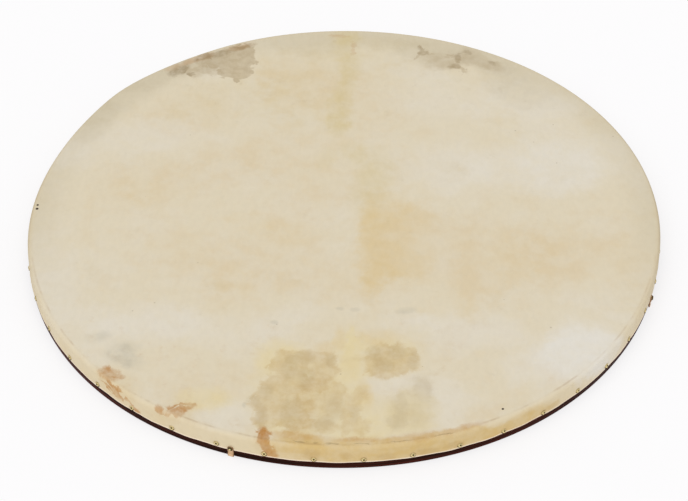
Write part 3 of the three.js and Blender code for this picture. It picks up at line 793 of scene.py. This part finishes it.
def swell_group(sizes):
    """A node group that gives the rim's swell at an angle, as a factor."""
    tree = bpy.data.node_groups.new("Rim Swell", "GeometryNodeTree")
    tree.interface.new_socket("Angle", in_out="INPUT", socket_type="NodeSocketFloat")
    tree.interface.new_socket("Factor", in_out="OUTPUT", socket_type="NodeSocketFloat")
    around = tree.nodes.new("NodeGroupInput").outputs[0]
    factor = 1.0
    for lobes, rise, crest in rim_waves(sizes):
        turn = times(tree, minus(tree, around, crest), float(lobes))
        factor = calc(tree, "MULTIPLY_ADD", calc(tree, "COSINE", turn), rise / sizes.radius, factor)
    for middle, width, rise in rim_bends():
        off = calc(tree, "WRAP", minus(tree, around, middle), math.pi, -math.pi)
        share = calc(tree, "DIVIDE", off, width)
        square = times(tree, share, share)
        fall = calc(tree, "EXPONENT", times(tree, square, -1.0))
        factor = calc(tree, "MULTIPLY_ADD", fall, rise / sizes.radius, factor)
    tree.links.new(factor, tree.nodes.new("NodeGroupOutput").inputs[0])
    return tree


def swell_node(tree, sizes, around):
    """The rim's swell at an angle, in a geometry tree."""
    return make(tree, "GeometryNodeGroup", {0: around}, node_tree=swell_group(sizes))


def grow(name, tree, values):
    """Runs a geometry tree and keeps its result as an object's plain mesh."""
    piece = bpy.data.objects.new(name, bpy.data.meshes.new(name))
    bpy.context.scene.collection.objects.link(piece)
    modifier = piece.modifiers.new(name, "NODES")
    modifier.node_group = tree
    for item in tree.interface.items_tree:
        if item.in_out == "INPUT":
            modifier[item.identifier] = values[item.name]
    graph = bpy.context.evaluated_depsgraph_get()
    made = bpy.data.meshes.new_from_object(
        piece.evaluated_get(graph), preserve_all_data_layers=True, depsgraph=graph
    )
    piece.modifiers.remove(modifier)
    bare = piece.data
    piece.data = made
    bpy.data.meshes.remove(bare)
    made.name = name
    if not made.polygons:
        raise RuntimeError(f"{name}: its geometry tree made no faces")
    return piece


def add_piece(name, points, faces, materials, face_materials=None):
    """Makes a smooth mesh object from points and faces."""
    mesh = bpy.data.meshes.new(name)
    mesh.from_pydata(points.tolist(), [], faces)
    for material in materials:
        mesh.materials.append(material)
    mesh.polygons.foreach_set("use_smooth", [True] * len(mesh.polygons))
    if face_materials is not None:
        mesh.polygons.foreach_set("material_index", face_materials)
    mesh.validate()
    mesh.update()
    piece = bpy.data.objects.new(name, mesh)
    bpy.context.scene.collection.objects.link(piece)
    return piece


def place_piece(piece, slot, *nodes):
    """Rides a piece on the drum, in place of its solids."""
    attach(piece, BODY)
    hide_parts(*nodes)


def hoop_tree(sizes):
    """Sweeps the hoop's rounded section around a circle, then bends the ring out of round."""
    lengths = ("Thickness", "Height", "Bevel", "Eased Corner", "Fold Radius", "Outer Radius")
    tree, given = new_tree("Bent Hoop", lengths, ("Segments",))
    thickness = given["Thickness"]
    # The sweep sets the section's own Y downwards. Only the third corner carries the skin's fold.
    crown = times(tree, given["Height"], -1.0)
    corners = {
        "Point 1": combine(tree),
        "Point 2": combine(tree, 0.0, plus(tree, crown, given["Bevel"])),
        "Point 3": combine(tree, thickness, crown),
        "Point 4": combine(tree, thickness),
    }
    section = make(tree, "GeometryNodeCurvePrimitiveQuadrilateral", corners, mode="POINTS")
    index = make(tree, "GeometryNodeInputIndex")
    at_fold = make(tree, "FunctionNodeCompare", {2: index, 3: 2}, data_type="INT", operation="EQUAL")
    bends = {"Switch": at_fold, "False": given["Eased Corner"], "True": given["Fold Radius"]}
    bend = make(tree, "GeometryNodeSwitch", bends, input_type="FLOAT")
    rounding = {"Curve": section, "Count": 4, "Radius": bend}
    rounded = make(tree, "GeometryNodeFilletCurve", rounding, mode="POLY")
    inner = minus(tree, given["Outer Radius"], thickness)
    round_line = {"Resolution": given["Segments"], "Radius": inner}
    circle = make(tree, "GeometryNodeCurvePrimitiveCircle", round_line)
    swept = make(tree, "GeometryNodeCurveToMesh", {"Curve": circle, "Profile Curve": rounded})
    position = make(tree, "GeometryNodeInputPosition")
    factor = swell_node(tree, sizes, rim_angle(tree, position))
    drawn = move(tree, "MULTIPLY", position, combine(tree, factor, factor, 1.0))
    ring = make(tree, "GeometryNodeSetPosition", {"Geometry": swept, "Position": drawn})
    end_tree(tree, ring, given["Material"])
    return tree


class DRUM_OT_hoop(bpy.types.Operator):
    """Makes the bent-wood hoop"""

    bl_idname = "drum.hoop"
    bl_label = "Hoop"

    def execute(self, context):
        sizes = context.scene.drum_sizes
        under_skin = sizes.skin + sizes.hoop_gap
        values = {
            "Thickness": sizes.hoop_thickness,
            "Height": sizes.hoop_height,
            "Bevel": sizes.hoop_bevel,
            "Eased Corner": sizes.hoop_ease,
            "Fold Radius": sizes.fold_radius - under_skin,
            "Outer Radius": sizes.radius - under_skin,
            "Segments": HOOP_STEPS * sizes.tack_count,
            "Material": wood_material(context.scene.drum_colours),
        }
        place_piece(grow("bent_hoop", hoop_tree(sizes), values), "stained_wood", "hoop")
        return {"FINISHED"}


# Rows of the head's section: radius, height, how far past the start of the fold, the direction out of the
# skin as its radial and upward parts, and whether the row is on the inner face.
Row = namedtuple("Row", "radius height past out up inside")


def head_rows(sizes):
    """The head's section, from the middle of its top over the fold, around the cut edge and back inside."""
    flat_end = sizes.radius - sizes.fold_radius
    fold_height = sizes.height - sizes.fold_radius
    half = sizes.skin / 2
    side_end = sizes.skin_edge + half
    quarter = math.pi / 2

    def top_row(radius, inset, inside):
        return Row(radius, sizes.height - inset, radius - flat_end, 0, 1, inside)

    def fold_row(turn, inset, inside):
        out, up = math.sin(turn), math.cos(turn)
        bend = sizes.fold_radius - inset
        return Row(flat_end + bend * out, fold_height + bend * up, sizes.fold_radius * turn, out, up, inside)

    def side_row(height, inset, inside):
        return Row(sizes.radius - inset, height, fold_reach(sizes, height), 1, 0, inside)

    def lip_row(turn):
        out, down = half * math.cos(turn), half * math.sin(turn)
        past = fold_reach(sizes, sizes.skin_edge)
        return Row(sizes.radius - half + out, side_end - down, past, 0, 0, False)

    top = (*np.linspace(0, flat_end - TOP_END, TOP_ROWS), *(flat_end - NEAR_FOLD))
    rows = [top_row(radius, 0, False) for radius in top]
    rows += [fold_row(turn, 0, False) for turn in np.linspace(0, quarter, FOLD_ROWS)[1:]]
    rows += [side_row(height, 0, False) for height in np.linspace(fold_height, side_end, SIDE_ROWS)[1:]]
    rows += [lip_row(turn) for turn in np.linspace(0, math.pi, LIP_ROWS)[1:-1]]
    inner_side = np.linspace(side_end, fold_height, INNER_SIDE_ROWS)
    rows += [side_row(height, sizes.skin, True) for height in inner_side]
    rows += [fold_row(turn, sizes.skin, True) for turn in np.linspace(quarter, 0, INNER_FOLD_ROWS)[1:]]
    rows += [top_row(radius, sizes.skin, True) for radius in np.linspace(flat_end, 0, INNER_TOP_ROWS)[1:]]
    return rows


def to_nearest_tack(sizes, around):
    """The distance along the rim to the nearest tack, and that distance as a share of the tacks' pitch."""
    step = 2 * math.pi / sizes.tack_count
    turns = (around - sizes.tack_first) / step
    off = turns - np.round(turns)
    return off * step * sizes.radius, off


def smooth_step(values, low, high):
    """Runs smoothly from 0 to 1 as values go from low to high."""
    share = np.clip((values - low) / (high - low), 0, 1)
    return share * share * (3 - 2 * share)


def wander_line(around, seed, waves, top):
    """A smooth random line around the rim, between about -1 and 1, from waves of up to top turns."""
    draw = np.random.default_rng(seed)
    total = np.zeros_like(around)
    for _ in range(waves):
        total += np.sin(draw.integers(3, top) * around + draw.uniform(0, 2 * math.pi))
    return total / math.sqrt(waves)


def tuck_relief(hide):
    """The height of the tuck at places on the flat hide."""
    way = TUCK_END - TUCK_START
    share = np.clip((hide - TUCK_START) @ way / (way @ way), 0, 1)
    off = np.linalg.norm(hide - TUCK_START - share[:, None] * way, axis=1)
    return TUCK_RISE * np.exp(-((off / TUCK_WIDTH) ** 2))


def head_points(sizes, rows, columns):
    """The head's points, their places on the flat hide, and the number of each row's first point."""
    around = sizes.tack_first + np.arange(columns) * 2 * math.pi / columns
    outwards = np.column_stack((np.sin(around), -np.cos(around)))
    factor = swell(sizes, around)
    along, share = to_nearest_tack(sizes, around)
    pucker = (1 - np.cos(2 * math.pi * share)) / 2
    pleats = wander_line(around, PLEAT_SEED, waves=9, top=260)
    wander = wander_line(around, EDGE_SEED, waves=7, top=60)
    flat_end = sizes.radius - sizes.fold_radius
    tack_past = fold_reach(sizes, sizes.tack_height)
    edge_past = fold_reach(sizes, sizes.skin_edge)

    points, hides, starts = [], [], []
    for row in rows:
        starts.append(len(points))
        ring = slice(0, columns if row.radius else 1)
        reach = row.radius * factor[ring]
        hide = outwards[ring] * (reach + row.past + flat_end - row.radius)[:, None]
        rise = np.zeros(len(hide))
        if not row.inside:
            lower = smooth_step(row.past, edge_past * PUCKER_START, edge_past)
            rise += lower * (PUCKER_RISE * pucker[ring] + PLEAT_RISE * pleats[ring])
            to_tack = along[ring] ** 2 + (row.past - tack_past) ** 2
            rise -= TACK_DENT * np.exp(-to_tack / (2 * DENT_WIDTH**2))
            rise -= CREASE_DEPTH * math.exp(-(((row.past - CREASE_PLACE) / CREASE_WIDTH) ** 2))
            rise += tuck_relief(hide)
        drop = EDGE_WANDER * wander[ring] * smooth_step(row.past, edge_past - EDGE_REACH, edge_past)
        reach = reach + rise * row.out
        points.extend(np.column_stack((outwards[ring] * reach[:, None], row.height + rise * row.up + drop)))
        hides.extend(np.column_stack((hide, np.full(len(hide), row.past))))
    return np.array(points), np.array(hides), starts


def head_mesh(sizes):
    """Points, faces, each point's place on the flat hide, and whether each face is inside."""
    columns = HEAD_STEPS * sizes.tack_count
    rows = head_rows(sizes)
    points, hides, starts = head_points(sizes, rows, columns)
    faces, inside = [], []
    for number in range(1, len(rows)):
        first, second = starts[number - 1], starts[number]
        for column in range(columns):
            after = (column + 1) % columns
            if not rows[number - 1].radius:
                face = (first, second + column, second + after)
            elif not rows[number].radius:
                face = (first + column, second, first + after)
            else:
                face = (first + column, second + column, second + after, first + after)
            faces.append(face)
            inside.append(rows[number].inside)
    return points, faces, hides, inside


def zone_number(middle):
    """The number of the zone that a place on the flat hide lies in."""
    x, y = middle
    for number, zone in enumerate(ZONES):
        if zone.left <= x < zone.right and zone.front <= y < zone.back:
            return number
    raise ValueError(f"no zone holds {middle}")


class DRUM_OT_head(bpy.types.Operator):
    """Makes the rawhide head"""

    bl_idname = "drum.head"
    bl_label = "Head"

    def execute(self, context):
        sizes = context.scene.drum_sizes
        colours = context.scene.drum_colours
        points, faces, hides, inside = head_mesh(sizes)
        materials = [rawhide_material(sizes, colours, zone) for zone in ZONES]
        materials.append(flesh_material(colours))
        face_materials = [
            len(ZONES) if within else zone_number(hides[list(face), :2].mean(axis=0) / MM)
            for face, within in zip(faces, inside)
        ]
        piece = add_piece("rawhide_head", points, faces, materials, face_materials)
        attribute = piece.data.attributes.new("hide", "FLOAT_VECTOR", "POINT")
        attribute.data.foreach_set("vector", hides.astype(np.float32).ravel())
        place_piece(piece, "rawhide", "head")
        return {"FINISHED"}


def tack_shape(tree, given):
    """A domed head over a tapered shank, with the place on the head's face kept as an attribute."""
    ball = make(tree, "GeometryNodeMeshUVSphere", {"Segments": 20, "Rings": 14, "Radius": 1.0})
    position = make(tree, "GeometryNodeInputPosition")
    kept = {"Geometry": ball, "Name": "face", "Value": stretch(tree, position, 1, 1, 0)}
    marked = make(tree, "GeometryNodeStoreNamedAttribute", kept, data_type="FLOAT_VECTOR", domain="POINT")
    x, y, z = split(tree, position)
    flattened = combine(tree, x, y, calc(tree, "MAXIMUM", z, 0.0))
    size = combine(tree, given["Head Radius"], given["Head Radius"], given["Dome Height"])
    dome_place = move(tree, "MULTIPLY", flattened, size)
    dome = make(tree, "GeometryNodeSetPosition", {"Geometry": marked, "Position": dome_place})
    cone = {"Vertices": 8, "Side Segments": 1, "Radius Top": 0.1 * MM}
    cone.update({"Radius Bottom": given["Shank Radius"], "Depth": given["Shank Length"]})
    shank = make(tree, "GeometryNodeMeshCone", cone)
    turned = make(tree, "GeometryNodeTransform", {"Geometry": shank, "Rotation": (math.pi, 0, 0)})
    tack = add(tree, "GeometryNodeJoinGeometry")
    for shape in (turned, dome):
        tree.links.new(shape, tack.inputs[0])
    return tack.outputs[0]


def tack_tree(sizes):
    """Sets domed tacks, each a little tilted, around the rim."""
    lengths = ("First Angle", "Step", "Row Height", "Stand-Off", "Head Radius", "Dome Height")
    lengths += ("Shank Length", "Shank Radius", "Tilt", "Hammering", "Rim Radius")
    tree, given = new_tree("Tack Row", lengths, ("Count", "Seed"))
    tack = tack_shape(tree, given)

    index = make(tree, "GeometryNodeInputIndex")
    around = calc(tree, "MULTIPLY_ADD", index, given["Step"], given["First Angle"])
    skin = times(tree, given["Rim Radius"], swell_node(tree, sizes, around))
    reach = plus(tree, skin, given["Stand-Off"])
    forward = times(tree, reach, calc(tree, "COSINE", around))
    side = times(tree, reach, calc(tree, "SINE", around))
    spot = combine(tree, side, times(tree, forward, -1.0), given["Row Height"])
    spots = make(tree, "GeometryNodePoints", {"Count": given["Count"], "Position": spot})
    leans = {0: (-1, -1, 0), 1: (1, 1, 0), "Seed": given["Seed"]}
    lean = scaled(tree, make(tree, "FunctionNodeRandomValue", leans, data_type="FLOAT_VECTOR"), given["Tilt"])
    turn = move(tree, "ADD", combine(tree, math.pi / 2, 0.0, around), lean)
    driven = {"Points": spots, "Instance": tack, "Rotation": turn}
    row = make(tree, "GeometryNodeInstanceOnPoints", driven)
    real = make(tree, "GeometryNodeRealizeInstances", {0: row})
    beaten = noise(tree, make(tree, "GeometryNodeInputPosition"), 330, 2, 0.5, wanted="Color")
    jolt = scaled(tree, move(tree, "SUBTRACT", beaten, (0.5, 0.5, 0.5)), given["Hammering"])
    hammered = make(tree, "GeometryNodeSetPosition", {"Geometry": real, "Offset": jolt})
    end_tree(tree, hammered, given["Material"])
    return tree


class DRUM_OT_tacks(bpy.types.Operator):
    """Makes the brass tacks around the rim and those through the tabs"""

    bl_idname = "drum.tacks"
    bl_label = "Tacks"

    def execute(self, context):
        sizes = context.scene.drum_sizes
        colours = context.scene.drum_colours
        tree = tack_tree(sizes)
        rim_values = {
            "Rim Radius": sizes.radius,
            "Count": sizes.tack_count,
            "First Angle": sizes.tack_first,
            "Step": 2 * math.pi / sizes.tack_count,
            "Row Height": sizes.tack_height,
            "Stand-Off": -TACK_SINK,
            "Head Radius": sizes.tack_radius,
            "Dome Height": sizes.tack_dome,
            "Shank Length": sizes.tack_shank,
            "Shank Radius": sizes.tack_shank_radius,
            "Tilt": TACK_TILT,
            "Hammering": TACK_HAMMERING,
            "Seed": TACK_SEED,
            "Material": brass_material(colours, "aged_brass", False),
        }
        tab_values = {
            **rim_values,
            "Count": len(TAB_NODES),
            "First Angle": sizes.tab_front,
            "Step": sizes.tab_right - sizes.tab_front,
            "Row Height": sizes.tab_tack_height,
            "Stand-Off": sizes.tab_thickness + TAB_GAP,
            "Head Radius": sizes.tab_tack_radius,
            "Seed": TAB_TACK_SEED,
            "Material": brass_material(colours, "tab_brass", True),
        }
        place_piece(grow("tack_row", tree, rim_values), "aged_brass", *TACK_NODES)
        place_piece(grow("tab_tacks", tree, tab_values), "aged_brass", *TAB_TACK_NODES)
        return {"FINISHED"}


def tab_rows(sizes, low, high):
    """A tab's sections from its bottom to its tip: height, half width, half thickness and stand-off."""
    on_wood = TAB_GAP - sizes.skin - sizes.hoop_gap
    half = sizes.tab_thickness / 2
    rows = []
    for share in np.linspace(0, 1, TAB_ROWS):
        height = low + (high - low) * share
        over = smooth_step(height, sizes.skin_edge - TAB_CLIMB_LENGTH, sizes.skin_edge + 0.2 * MM)
        taper = smooth_step(height, sizes.skin_edge + 2.5 * MM, high + 1.5 * MM)
        width = sizes.tab_width + (sizes.tab_tip - sizes.tab_width) * taper
        ends = min(share, 1 - share) * (high - low) / TAB_ROUND
        round_off = math.sqrt(1 - (1 - min(ends, 1)) ** 2)
        curl = TAB_CURL * (1 - smooth_step(height, low, low + TAB_CURL_LENGTH))
        off_tack = (height - sizes.tab_tack_height) / TAB_PRESS_LENGTH
        pressed = TAB_PRESS * math.exp(-(off_tack**2))
        middle = on_wood + (TAB_GAP - on_wood) * over + half + curl - pressed
        half_width = width / 2 * (TAB_END_WIDTH + (1 - TAB_END_WIDTH) * round_off)
        rows.append((height, half_width, max(half * round_off, TAB_LEAST), middle))
    return rows


def tab_mesh(sizes, around, low, high):
    """Points, faces and nearness to the side edges, for a tab lofted through its sections."""
    out = np.array((math.sin(around), -math.cos(around), 0))
    side = np.array((math.cos(around), math.sin(around), 0))
    skin = sizes.radius * float(swell(sizes, around))
    points, side_nearness, faces = [], [], []
    for height, half_width, half_thick, middle in tab_rows(sizes, low, high):
        for step in range(TAB_STEPS):
            turn = 2 * math.pi * step / TAB_STEPS
            flat = math.copysign(abs(math.cos(turn)) ** 0.35, math.cos(turn))
            deep = math.copysign(abs(math.sin(turn)) ** 0.5, math.sin(turn))
            crown = TAB_CROWN * (1 - flat * flat) if deep > 0 else 0
            place = out * (skin + middle + deep * half_thick + crown) + side * flat * half_width
            points.append(place + np.array((0, 0, height)))
            side_nearness.append(abs(flat))
    top = len(points) - TAB_STEPS
    for first in range(0, top, TAB_STEPS):
        second = first + TAB_STEPS
        for step in range(TAB_STEPS):
            after = (step + 1) % TAB_STEPS
            faces.append((first + step, second + step, second + after, first + after))
    faces.append(tuple(range(TAB_STEPS)))
    faces.append(tuple(reversed(range(top, len(points)))))
    return np.array(points), faces, side_nearness


class DRUM_OT_tabs(bpy.types.Operator):
    """Makes the leather tabs"""

    bl_idname = "drum.tabs"
    bl_label = "Tabs"

    def execute(self, context):
        sizes = context.scene.drum_sizes
        material = leather_material(context.scene.drum_colours)
        for node in TAB_NODES:
            low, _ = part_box(node)
            high = sizes.tab_tack_height + sizes.tab_end
            points, faces, side_nearness = tab_mesh(sizes, getattr(sizes, node), low.z, high)
            piece = add_piece(f"leather_{node}", points, faces, (material,))
            attribute = piece.data.attributes.new("rim", "FLOAT", "POINT")
            attribute.data.foreach_set("value", side_nearness)
            place_piece(piece, "tan_leather", node)
        return {"FINISHED"}


def floor_material(stage, colours):
    """A pale floor that is lit mostly by itself, so that it stays even."""
    material, tree, shader = new_material("pale_floor")
    look = {
        "Base Color": colours.floor_shaded,
        "Emission Color": colours.floor,
        "Emission Strength": stage.floor_glow,
        "Roughness": 0.9,
        "Specular IOR Level": 0.1,
    }
    set_inputs(tree, shader, look)
    return material


def add_camera(stage):
    """The camera, at the angle that the drum is seen from."""
    data = bpy.data.cameras.new("camera")
    data.sensor_fit = "HORIZONTAL"
    data.sensor_width = SENSOR_WIDTH
    data.lens = stage.lens
    camera = bpy.data.objects.new("camera", data)
    back = Vector((0, -math.cos(stage.elevation), math.sin(stage.elevation)))
    look = math.pi / 2 - stage.elevation - stage.aim_drop
    turn = Matrix.Rotation(look, 4, "X") @ Matrix.Rotation(stage.aim_side, 4, "Y")
    turn = turn @ Matrix.Rotation(stage.roll, 4, "Z")
    camera.matrix_world = Matrix.Translation(back * stage.distance) @ turn
    bpy.context.scene.collection.objects.link(camera)
    bpy.context.scene.camera = camera


def add_lights(stage):
    """An even white sky, as pale as the floor to the camera, and a soft key light from above the camera."""
    world = bpy.data.worlds.new("studio")
    world.use_nodes = True
    tree = world.node_tree
    seen = add(tree, "ShaderNodeLightPath").outputs["Is Camera Ray"]
    glow = ramp(tree, seen, 0, 1, stage.sky, stage.backdrop)
    set_inputs(tree, tree.nodes["Background"], {"Color": (1, 1, 1, 1), "Strength": glow})
    bpy.context.scene.world = world
    data = bpy.data.lights.new("key", "SUN")
    data.energy = stage.key
    data.angle = KEY_SPREAD
    key = bpy.data.objects.new("key", data)
    key.rotation_euler = (KEY_FORWARD, KEY_SIDEWAYS, 0)
    bpy.context.scene.collection.objects.link(key)


class DRUM_OT_stage(bpy.types.Operator):
    """Makes the floor, the lights and the camera"""

    bl_idname = "drum.stage"
    bl_label = "Stage"

    def execute(self, context):
        stage = context.scene.drum_stage
        half = stage.floor_size / 2
        low = cad_low.z - FLOOR_GAP
        corners = np.array(((-half, -half, low), (half, -half, low), (half, half, low), (-half, half, low)))
        material = floor_material(stage, context.scene.drum_colours)
        floor = add_piece("floor", corners, [(0, 1, 2, 3)], (material,))
        add_lights(stage)
        add_camera(stage)
        context.scene.view_settings.view_transform = "Standard"
        return {"FINISHED"}


OPERATORS = (DRUM_OT_hoop, DRUM_OT_head, DRUM_OT_tacks, DRUM_OT_tabs, DRUM_OT_stage)


class DRUM_PT_panel(bpy.types.Panel):
    """Lists the drum's pieces and their sizes"""

    bl_label = "Frame Drum"
    bl_idname = "DRUM_PT_panel"
    bl_space_type = "VIEW_3D"
    bl_region_type = "UI"
    bl_category = "Drum"

    def draw(self, context):
        for operator in OPERATORS:
            self.layout.operator(operator.bl_idname)
        for group in ("drum_sizes", "drum_colours", "drum_stage"):
            settings = getattr(context.scene, group)
            box = self.layout.box()
            for name in settings.__annotations__:
                box.prop(settings, name)


CLASSES = (DrumSizes, DrumColours, DrumStage, *OPERATORS, DRUM_PT_panel)


def register():
    for cls in CLASSES:
        bpy.utils.register_class(cls)
    bpy.types.Scene.drum_sizes = PointerProperty(type=DrumSizes)
    bpy.types.Scene.drum_colours = PointerProperty(type=DrumColours)
    bpy.types.Scene.drum_stage = PointerProperty(type=DrumStage)


def unregister():
    del bpy.types.Scene.drum_stage
    del bpy.types.Scene.drum_colours
    del bpy.types.Scene.drum_sizes
    for cls in reversed(CLASSES):
        bpy.utils.unregister_class(cls)


def main():
    register()
    bpy.ops.drum.hoop()
    bpy.ops.drum.head()
    bpy.ops.drum.tacks()
    bpy.ops.drum.tabs()
    bpy.ops.drum.stage()


if __name__ == "__main__":
    main()
